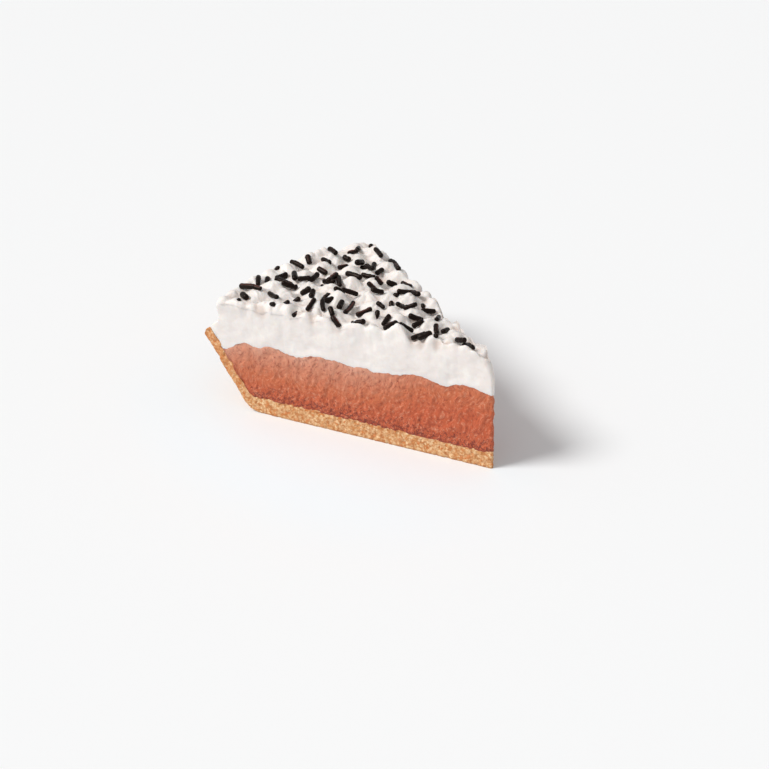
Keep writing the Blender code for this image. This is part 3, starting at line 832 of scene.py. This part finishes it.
cream = {
    "spacing": 0.42 * mm,
    "topSpacing": 0.8,         # of that, between the points in the rows of its top
    "steps": (12, 22, 44),     # over the crust, up its side, and from bottom to top in all
    "radius": 109.8 * mm,
    "footHeight": 30.0 * mm,
    "shoulderHeight": 38.5 * mm,
    "shoulderRun": 3.6 * mm,   # how far in from there the top starts
    "swell": 0.8 * mm,         # how far the side at the rim bulges
    "swellSize": 11.0 * mm,
    "swellSeed": 21,
    "lean": 1.8 * mm,          # how much higher the crown is at the cut at -X than in the middle
    "fallFrom": 70.0 * mm,     # the radius from which it falls, and by how much to the rim
    "fall": 1.2 * mm,
    "tipRounding": 8.5 * mm,   # the radius inside which it falls to the tip, and by how much
    "tipDrop": 3.6 * mm,
    "cutRounding": (1.3 * mm, 3.2 * mm),   # at the tip and at the rim
    "lipRise": 0.2 * mm,       # of the lip that it lays over the rim
    "lipDepth": 2.5 * mm,      # how far over the lip the side is out at its full radius
    "lipRounding": 1.0 * mm,
    "dollopSpacing": 10.0 * mm,
    "dollopJitter": 0.32,      # how far each stands from its place, in spacings
    "dollopWidth": 4.8 * mm,
    "dollopHeights": (3.2 * mm, 5.5 * mm),
    "dollopPoint": 1.9,        # the power in its bell: less is more pointed
    "dollopCrease": 4.0,       # the power with which bells are added: more is a sharper crease
    "dollopRidges": 5,
    "ridgeDepth": 0.12,
    "dollopTwist": 260.0,      # radians that the wave of its ridges gains for each metre outwards
    "dollopAtRim": 0.72,       # how high dollops are at the rim, as a share
    "dollopSeed": 85,
    # sizes, depths and seeds of small creases, their usual level, and the size, reach and seed
    # of the bends in them
    "folds": ((3.6 * mm, 0.45 * mm, 80), (1.5 * mm, 0.18 * mm, 81)),
    "foldLevel": 0.6,
    "foldBend": (5.0 * mm, 1.2 * mm, 70),
    # sizes, reliefs and seeds of its cut, and the height over which they fade in
    "cutRelief": ((9.0 * mm, 0.60 * mm, 90), (3.2 * mm, 0.24 * mm, 91), (1.3 * mm, 0.09 * mm, 92)),
    "cutFade": 3.0 * mm,
    "cutReach": 3.0 * mm,      # how far behind the cut its relief fades out
    "grooveReach": 4.0 * mm,   # how far the top's hollows run on down the cut, and how deep
    "grooveDepth": 0.6 * mm,
    "grooveLimits": (-0.5, 1.0),           # shares of that within which they stay
    "notchDepth": 0.9 * mm,    # how much deeper the hollows are at the cut, and how much more painted shade they get there
    "notchShadeBoost": 0.6,          # tinted
    "sideShadeStrength": 0.7,           # how strong their painted shade is on the cut below them
    "shadeFacing": (0.0, 0.3),  # how far up the skin faces where the painted shade in the hollows starts and is full
    "hollowReach": 2.8 * mm,
    "hollowDepth": 1.3 * mm,   # below its surroundings at that reach, where the painted shade is full
    "shader": {
        "Roughness": 0.48, "Subsurface Weight": 0.30, "Subsurface Scale": 2.0 * mm,
        "Subsurface Radius": (1.0, 0.80, 0.62),
    },
    "bump": ("fineHeight", 0.25, 0.12 * mm),
    "bodyColour": colour(236, 229, 225),
    # painted shade: the beige tone in the top's hollows and on the cut just below them
    "hollowShadeColour": colour(214, 197, 187),
    "paleColour": colour(243, 239, 235),
    "noises": {"soft": (6.0 * mm, 0.3), "fine": (1.2 * mm, 0.5)},
    "tints": (("soft", "paleColour", 0.4, 0.9, 0.8), ("paintedHollowShade", "hollowShadeColour", 0.0, 1.0, 0.75)),
}


def dollopTable():
    # Rows of dollops over the slice, every other row half a step along, each with seeded draws
    random = np.random.default_rng(cream["dollopSeed"])
    spacing, jitterBy = cream["dollopSpacing"], cream["dollopJitter"]
    rowStep = spacing * math.sqrt(3.0) / 2
    reach = math.ceil(pie["crustRadius"] * math.tan(halfAngle) / spacing) + 1
    rowNumbers = np.arange(-1, math.ceil(cream["radius"] / rowStep) + 1)
    grid = np.meshgrid(rowNumbers, np.arange(-reach, reach + 1), indexing="ij")
    row, column = (numbers.ravel() for numbers in grid)
    jitter = random.uniform(-jitterBy, jitterBy, (2, len(row)))
    x = (column + 0.5 * (row % 2) + jitter[0]) * spacing
    y = centreY + row * rowStep + jitter[1] * spacing
    height = random.uniform(*cream["dollopHeights"], len(row))
    phase = random.uniform(0.0, math.tau, len(row))
    return x, y, height, phase


def dollopHeight(x, y):
    # Each dollop is a bell, e to minus a power of the distance over its width, with soft ridges
    # that twist round it. The bells are raised to a power, added up and brought back by its
    # root, so that the higher one wins where they meet, and leaves a crease.
    centreXs, centreYs, height, phase = dollopTable()
    across, along = x[:, None] - centreXs, y[:, None] - centreYs
    away = np.hypot(across, along)
    width, crease = cream["dollopWidth"], cream["dollopCrease"]
    turns = cream["dollopRidges"] * np.arctan2(along, across) + phase
    star = np.cos(turns + cream["dollopTwist"] * away)
    reach = away * (1.0 + cream["ridgeDepth"] * star * smoothStep(away, 0.0, width))
    bells = height * np.exp(-((reach / width) ** cream["dollopPoint"]))
    return (bells**crease).sum(axis=1) ** (1.0 / crease)


def creamHeight(x, y):
    # The crown leans to +X evenly with the angle, and falls by the square of the way to the rim
    # and to the tip; the dollops on it are lower there
    radii, angles = polar(x, y)
    fall = np.clip((radii - cream["fallFrom"]) / (cream["radius"] - cream["fallFrom"]), 0.0, 1.0)
    tip = 1.0 - np.clip(radii / cream["tipRounding"], 0.0, 1.0)
    crown = pie["creamCrown"] - cream["lean"] * angles / halfAngle
    crown = crown - cream["fall"] * fall**2 - cream["tipDrop"] * tip**2
    share = (1.0 - (1.0 - cream["dollopAtRim"]) * fall**4) * (1.0 - tip / 2)
    return crown + share * dollopHeight(x, y)


def fromCut(radii, angles):
    # The distance to the nearer cut
    return radii * np.sin(halfAngle - np.abs(angles))


def nearCut(x, y):
    # 1 at a cut, and 0 a little behind it
    return 1.0 - smoothStep(fromCut(*polar(x, y)), 0.0, cream["cutReach"])


def cutDrop(x, y):
    # A quarter circle off the top's edge along each cut, larger towards the rim
    radii, angles = polar(x, y)
    atTip, atRim = cream["cutRounding"]
    size = atTip + (atRim - atTip) * np.clip(radii / cream["radius"], 0.0, 1.0) ** 2
    inside = np.clip(size - fromCut(radii, angles), 0.0, size)
    return size - np.sqrt(size**2 - inside**2)


def foldDepth(x, y):
    # Small creases: twice the noise without its sign, so that it folds along lines, less its
    # usual level, in coordinates that a soft noise has bent
    points = bentPoints(np.column_stack((x, y, 0.0 * x)), *cream["foldBend"], axes=2)
    return sum(
        depth * (2.0 * np.abs(softNoise(points, size, seed)) - cream["foldLevel"])
        for size, depth, seed in cream["folds"]
    )


def creamTop(x, y):
    # The dollops with their small creases, rounded off at the cuts
    return creamHeight(x, y) + foldDepth(x, y) - cutDrop(x, y)


def hollowDepth(x, y, count=6):
    # How far the top lies below its own mean on a circle round the spot
    turns = np.arange(count) * math.tau / count
    reach = cream["hollowReach"]
    around = [creamHeight(x + reach * math.cos(turn), y + reach * math.sin(turn)) for turn in turns]
    return np.mean(around, axis=0) - creamHeight(x, y)


def notchDrop(x, y):
    # The top's hollows go deeper near the cuts
    depth = np.clip(hollowDepth(x, y) / cream["hollowDepth"], 0.0, 1.0)
    return cream["notchDepth"] * depth * nearCut(x, y)


def swell(points):
    # Long uneven waves, by which its side at the rim bulges
    return cream["swell"] * waves(points, cream["swellSize"], cream["swellSeed"])


def makeCream():
    # A closed wedge whose underside lies on the filling, whose rear lies on the crust and then
    # bulges up to a rounded edge, and whose top carries the dollops
    def overFilling(radii, angles, heights):
        # The filling's top and a thin seam of air
        return radii, fillingHeight(radii, angles) + pie["seam"]

    def swelling(radii, angles, heights):
        # The side bulges more towards its shoulder
        share = smoothStep(heights, cream["footHeight"], cream["shoulderHeight"])
        return radii + share * swell(place(radii, angles, heights)), heights

    def shoulder(share):
        # A row of the rounded edge between the side, at share 0, and the top, at share 1; this
        # share of a quarter turn takes it inwards by its cosine and up by its sine
        turn = share * math.pi / 2

        def roundedEdge(radii, angles, heights):
            # Up by that sine of the way to the top, and out by what is left of the side's bulge
            points = place(radii, angles, heights)
            rise = creamTop(points[:, 0], points[:, 1]) - heights
            return radii + (1.0 - share) * swell(points), heights + rise * math.sin(turn)

        radius = cream["radius"] - cream["shoulderRun"] * (1.0 - math.cos(turn))
        return arcRow(radius, cream["shoulderHeight"], cream["spacing"], roundedEdge)

    def dolloped(radii, angles, heights):
        # The top itself
        points = place(radii, angles, heights)
        return radii, creamTop(points[:, 0], points[:, 1])

    overCrust, upSide, up = cream["steps"]
    edge = fillingEdge()
    low = (edge, fillingHeight(np.array((edge,)), np.array((0.0,)))[0] + pie["seam"])
    foot = (innerWallRadius(cream["footHeight"]) - pie["seam"], cream["footHeight"])
    lip = (pie["crustRadius"] - pie["wallThickness"] / 2, pie["rimHeight"] + cream["lipRise"])
    aboveLip = (cream["radius"] + cream["swell"] / 2, lip[1] + cream["lipDepth"])
    sideTop = (cream["radius"], cream["shoulderHeight"])
    side = [foot, *rounded(lip, foot, aboveLip, cream["lipRounding"]), aboveLip, sideTop]
    bottomRadii = fillingRadii()
    bottomLine = [(radius, pie["fillingCentre"]) for radius in bottomRadii]
    bottom = arcRows(bottomLine, pie["hiddenSpacing"], overFilling)
    rear = arcRows(resample([low, foot], overCrust)[1:-1], pie["hiddenSpacing"])
    rear += arcRows(resample(side, upSide), cream["spacing"], swelling)
    rear += [shoulder(share) for share in np.linspace(0.0, 1.0, up + 1 - len(rear))[1:-1]]
    inside, tipTop = cream["radius"] - cream["shoulderRun"], tipRadius(pie["creamCrown"])
    topRadii = np.linspace(tipTop, inside, len(bottomRadii))
    topLine = [(radius, pie["creamCrown"]) for radius in topRadii]
    top = arcRows(topLine, cream["spacing"] * cream["topSpacing"], dolloped)
    tipHeights = np.linspace(bottom[0][:, 2].mean(), top[0][:, 2].mean(), up + 1)[1:-1]
    front = arcRows([(tipRadius(height), height) for height in tipHeights], cream["spacing"])
    material = mottledMaterial("whippedCream", cream, "paintedHollowShade")
    piece = wedgePiece("whippedCream", bottom, rear, top, front, material)

    points = readPoints(piece)
    x, y, z = points.T
    radii, angles = polar(x, y)
    # Painted shade: a beige tint in the top's hollows, stronger near the cuts and running a little
    # way down the cut below them
    depth = hollowDepth(x, y) / cream["hollowDepth"]
    besideTop = 1.0 - smoothStep(creamTop(x, y) - z, 0.0, cream["grooveReach"])
    onCut = nearCut(x, y)
    upward = smoothStep(readPoints(piece, "normal")[:, 2], *cream["shadeFacing"])
    shadeAmount = np.maximum(upward, cream["sideShadeStrength"] * besideTop) * (1.0 + cream["notchShadeBoost"] * onCut)
    addAttribute(piece, "paintedHollowShade", depth * shadeAmount)

    # Soft noise at several sizes, which fades out towards the filling, and grooves that run
    # down from the top's hollows. The cuts move straight out by it, the tip forwards and the
    # rear away from the centre, and what lies just behind them moves along.
    relief = layeredNoise(points, cream["cutRelief"])
    relief *= smoothStep(z - fillingHeight(radii, angles), 0.0, cream["cutFade"])
    relief -= cream["grooveDepth"] * np.clip(depth, *cream["grooveLimits"]) * besideTop
    turn = np.clip(2.0 * angles / halfAngle, -1.0, 1.0)
    forwards = np.abs(turn) * math.sin(halfAngle) + 1.0 - np.abs(turn)
    onRear = 1.0 - smoothStep(cream["radius"] - radii, 0.0, cream["cutReach"])
    onRear *= smoothStep(z, pie["rimHeight"], pie["rimHeight"] + cream["cutFade"])
    x += relief * (onCut * turn * math.cos(halfAngle) + onRear * np.sin(angles))
    y += relief * (onRear * np.cos(angles) - onCut * forwards)
    z -= besideTop * cream["notchDepth"] * np.clip(depth, 0.0, 1.0) * onCut
    writePoints(piece, points)
    return piece


# Chocolate sprinkles

sprinkles = {
    "count": 88,
    "diameter": 1.95 * mm,
    "lengths": (2.8 * mm, 5.2 * mm, 8.6 * mm),   # shortest, usual, longest
    "samples": 7,              # places along a rod at which its neighbours and the cream are read
    "apart": 3.0 * mm,
    "touching": 0.25,          # the share of rods that may touch others
    "middlesApart": 1.6 * mm,
    "rise": 0.5 * mm,          # of its middle line over the cream
    "onBulge": 0.9,            # how much of the highest bump under it lifts it
    "tilt": math.radians(9.0),
    "steepShare": 0.2,         # the share of rods that stick in the cream more steeply
    "steepTilt": (math.radians(20.0), math.radians(45.0)),
    "steepSink": 0.2,          # how much of its length such a rod's middle sinks, at most
    "seed": 3216,
    "sides": 12,
    "rings": 15,
    "bend": 0.35 * mm,
    "thickness": (0.88, 1.14), # in diameters
    "lumps": 0.05,
    "rounding": 0.8,           # of its ends, in its own radii
    "shader": {
        "Roughness": 0.42, "Specular IOR Level": 0.20, "Specular Tint": (1.0, 0.78, 0.68, 1.0),
    },
    "bump": ("grainHeight", 0.3, 0.08 * mm),
    "bodyColour": colour(15, 8, 7),
    "worn": colour(50, 28, 24),
    # painted highlight: the paler sheen along the upper side of some rods
    "paintedSheen": colour(98, 58, 52),
    "sheenShare": 0.45,       # the share of rods with a painted highlight, a paler sheen, along their upper side
    "sheenStrengths": (0.4, 1.0),
    "sheenTurn": 0.6,         # how far round the rod it may lie from the top, in radians
    "sheenEdge": (0.75, 1.0), # the cosine of the turn away from it where it starts and is full
    "sheenFade": 6,           # the power of the way from the middle by which it fades
    "noises": {"grain": (1.4 * mm, 0.5)},
    "tints": (("grain", "worn", 0.5, 1.0, 0.6), ("paintedSheen", "paintedSheen", 0.3, 0.9, 0.8)),
}


def sprinkleTable():
    # Seeded rods, each with its centre, its unit direction and its length, laid on the cream;
    # one that would reach past the cream or too close to another is drawn again. A rod slopes
    # as the cream under it does and by its own tilt; bumps lift it, and a steep one sinks in.
    random = np.random.default_rng(sprinkles["seed"])
    shares = np.linspace(-0.5, 0.5, sprinkles["samples"])
    taken = np.empty((0, 2))
    centres, directions, lengths = [], [], []
    while len(centres) < sprinkles["count"]:
        radius = cream["radius"] * math.sqrt(random.uniform())
        angle = random.uniform(-halfAngle, halfAngle)
        yaw = random.uniform(0.0, math.tau)
        length = random.triangular(*sprinkles["lengths"])
        steep = random.uniform() < sprinkles["steepShare"]
        if steep:
            tilt = random.uniform(*sprinkles["steepTilt"])
        else:
            tilt = random.normal(0.0, sprinkles["tilt"])
        apart = sprinkles["apart"] if random.uniform() > sprinkles["touching"] else 0.0
        x, y = radius * math.sin(angle), centreY + radius * math.cos(angle)
        runX = x + shares * length * math.cos(yaw) * math.cos(tilt)
        runY = y + shares * length * math.sin(yaw) * math.cos(tilt)
        fromCentre = runY - centreY
        pastCut = np.abs(runX) * math.cos(halfAngle) - fromCentre * math.sin(halfAngle)
        pastRim = np.hypot(runX, fromCentre) - (cream["radius"] - sprinkles["diameter"])
        if pastCut.max() > 0.0 or pastRim.max() > 0.0:
            continue
        run = np.column_stack((runX, runY))
        nearest = np.linalg.norm(run[:, None] - taken, axis=2)
        middle = nearest[sprinkles["samples"] // 2]
        if centres and (nearest.min() < apart or middle.min() < sprinkles["middlesApart"]):
            continue
        taken = np.concatenate((taken, run))
        ground = creamTop(runX, runY) - notchDrop(runX, runY)
        slope = math.tan(tilt) + (ground[-1] - ground[0]) / (length * math.cos(tilt))
        bulge = (ground - ground.mean() - slope * shares * length).max() * sprinkles["onBulge"]
        sink = -sprinkles["steepSink"] * length * math.sin(tilt)
        direction = np.array((math.cos(yaw), math.sin(yaw), slope))
        centres.append((x, y, ground.mean() + (sink if steep else bulge + sprinkles["rise"])))
        directions.append(direction / np.linalg.norm(direction))
        lengths.append(length)
    return np.array(centres), np.array(directions), np.array(lengths)


def makeSprinkles():
    # All rods at once: rings of points round a slightly bent line, whose radius follows a
    # quarter circle to a pole at each end
    centres, directions, lengths = sprinkleTable()
    count, rings, sides = len(centres), sprinkles["rings"], sprinkles["sides"]
    random = np.random.default_rng(sprinkles["seed"] + 1)
    side = np.cross(directions, (0.0, 0.0, 1.0))
    side /= np.linalg.norm(side, axis=1)[:, None]
    up = np.cross(side, directions)
    thickness = sprinkles["diameter"] / 2 * random.uniform(*sprinkles["thickness"], count)
    bend = sprinkles["bend"] * random.normal(0.0, 0.5, (count, 2))
    lumps = sprinkles["lumps"] * random.normal(0.0, 1.0, (count, rings))
    along = np.sin(np.linspace(-math.pi / 2, math.pi / 2, rings + 2))   # closer towards the ends
    line = centres[:, None] + directions[:, None] * (lengths[:, None, None] / 2 * along[:, None])
    curve = (1.0 - along**2)[:, None]
    line = line + curve * (bend[:, :1] * side + bend[:, 1:] * up)[:, None]
    reach = lengths[:, None] / 2 * (1.0 - np.abs(along[1:-1])) / thickness[:, None]
    fromEnd = np.clip(reach / sprinkles["rounding"], 0.0, 1.0)
    width = np.sqrt(1.0 - (1.0 - fromEnd) ** 2) * (1.0 + lumps)
    turns = np.arange(sides) * math.tau / sides
    cosine, sine = np.cos(turns)[:, None], np.sin(turns)[:, None]
    circle = cosine * side[:, None] + sine * up[:, None]
    skin = line[:, 1:-1, None] + (thickness[:, None] * width)[:, :, None, None] * circle[:, None]
    points = np.concatenate((skin.reshape(count, -1, 3), line[:, :1], line[:, -1:]), axis=1)

    ring = np.arange(rings * sides).reshape(rings, sides)
    after = np.roll(ring, -1, axis=1)
    firstPole, lastPole = rings * sides, rings * sides + 1
    rod = np.concatenate((
        quadTriangles(ring[:-1], after[:-1], after[1:], ring[1:]),
        np.column_stack((after[0], ring[0], np.full(sides, firstPole))),
        np.column_stack((ring[-1], after[-1], np.full(sides, lastPole))),
    ))
    faces = rod[None] + np.arange(count)[:, None, None] * points.shape[1]
    material = mottledMaterial("chocolateSprinkles", sprinkles, "paintedSheen")
    piece = meshPiece(
        "chocolateSprinkles", points.reshape(-1, 3), faces.reshape(-1, 3), material
    )
    # The painted highlight, a paler sheen on the rod's upper side where light falls, follows one
    # line along it and stops short of its ends
    sheenStrength = random.uniform(*sprinkles["sheenStrengths"], count)
    sheenStrength = sheenStrength * (random.uniform(size=count) < sprinkles["sheenShare"])
    shift = random.uniform(-sprinkles["sheenTurn"], sprinkles["sheenTurn"], count)
    turned = np.cos(turns - math.pi / 2 - shift[:, None])
    ends = 1.0 - np.abs(along[1:-1]) ** sprinkles["sheenFade"]
    edge = smoothStep(turned, *sprinkles["sheenEdge"])
    paintedSheen = sheenStrength[:, None, None] * ends[:, None] * edge[:, None]
    paintedSheen = np.concatenate((paintedSheen.reshape(count, -1), np.zeros((count, 2))), axis=1)
    addAttribute(piece, "paintedSheen", paintedSheen.ravel())
    return piece


crustPiece = makeCrust()
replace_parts(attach(crustPiece, "root"), "crumb_crust")

fillingPiece = makeFilling()
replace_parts(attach(fillingPiece, "root"), "chocolate_filling")

creamPiece = makeCream()
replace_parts(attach(creamPiece, "root"), "whipped_cream")

sprinklePiece = makeSprinkles()
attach(sprinklePiece, "root")


# Floor, lights and camera

studio = {
    "floorSize": 12.0,
    "shader": {"Roughness": 0.6},
    "floorColour": (0.922, 0.930, 0.942, 1.0),
    "nearColour": (0.887, 0.940, 0.978, 1.0),   # cooler, where the slice's warm light falls on it
    "nearMiddle": (-24.0 * mm, 4.0 * mm, 0.0),  # of the oval in which that is, on the lit side
    "nearReach": (42.0 * mm, 62.0 * mm, 1.0),   # and its half sizes
    "tints": (("away", "nearColour", 1.7, 0.8, 1.0),),   # from and to how many of those
    "worldColour": (1.0, 1.0, 1.0, 1.0),
    "worldStrength": 0.46,     # of its light
    "horizonStrength": 0.91,   # as a low view sees it behind the floor, whose tone it takes
    # azimuth, elevation, strength, angular width and colour of each light
    "lights": {
        "key": (-122.0, 48.0, 2.45, 22.0, (1.0, 0.99, 0.97)),
    },
}
viewpoint = {
    "azimuth": -44.81,
    "elevation": 29.5,
    "target": (0.0, -0.95 * mm, 20.0 * mm),
    "distance": 0.750,
    "nearest": 0.01,           # metres before the camera at which its view starts
    "lens": 96.39,             # and the width of the sensor behind it, both in millimetres
    "sensor": 36.0,
    "shift": (0.00598, -0.02796),
}


def fromAngles(azimuth, elevation):
    # The direction towards a point seen from there; azimuth 0 looks along +Y
    a, e = math.radians(azimuth), math.radians(elevation)
    return Vector((math.sin(a) * math.cos(e), -math.cos(a) * math.cos(e), math.sin(e)))


def makeFloor():
    # A square under the slice, tinted by the distance from the oval's middle in its half sizes
    half = studio["floorSize"] / 2
    corners = [(-half, -half, 0), (half, -half, 0), (half, half, 0), (-half, half, 0)]
    mesh = bpy.data.meshes.new("floor")
    mesh.from_pydata(corners, [], [(0, 1, 2, 3)])
    material, tree, shader, spot = newMaterial("paleFloor", studio["shader"])
    oval = addNode(tree, "Mapping", -1100, 0, {
        "Vector": spot, "Location": studio["nearMiddle"], "Scale": studio["nearReach"],
    }, vector_type="TEXTURE")
    away = addNode(tree, "VectorMath", -850, 0, {0: oval.outputs[0]}, operation="LENGTH")
    paint(tree, shader, studio["floorColour"], {"away": away.outputs["Value"]}, studio)
    mesh.materials.append(material)
    floor = addObject("floor", mesh)


def makeLights():
    # Suns from their directions, and a pale world that is paler still where it is seen itself
    for name, (azimuth, elevation, strength, width, tone) in studio["lights"].items():
        data = bpy.data.lights.new(name, "SUN")
        data.energy, data.angle, data.color = strength, math.radians(width), tone
        light = addObject(name, data)
        light.location = fromAngles(azimuth, elevation)
        light.rotation_euler = (-light.location).to_track_quat("-Z", "Y").to_euler()
    world = bpy.data.worlds.new("studio")
    world.use_nodes = True
    tree = world.node_tree
    background = tree.nodes["Background"]
    background.inputs["Color"].default_value = studio["worldColour"]
    path = addNode(tree, "LightPath", -600, 0)
    strength = addNode(tree, "MapRange", -300, 0, {
        "Value": path.outputs["Is Camera Ray"],
        "To Min": studio["worldStrength"], "To Max": studio["horizonStrength"],
    })
    tree.links.new(strength.outputs["Result"], background.inputs["Strength"])
    bpy.context.scene.world = world


def makeCamera():
    # At its distance from the target, back along the direction of view
    data = bpy.data.cameras.new("camera")
    data.lens, data.sensor_width = viewpoint["lens"], viewpoint["sensor"]
    data.shift_x, data.shift_y = viewpoint["shift"]
    data.clip_start = viewpoint["nearest"]
    camera = addObject("camera", data)
    back = fromAngles(viewpoint["azimuth"], viewpoint["elevation"])
    camera.location = Vector(viewpoint["target"]) + back * viewpoint["distance"]
    camera.rotation_euler = (-back).to_track_quat("-Z", "Y").to_euler()
    bpy.context.scene.camera = camera


makeFloor()
makeLights()
makeCamera()
bpy.context.scene.view_settings.view_transform = "Standard"
print("floor, lights and camera made")
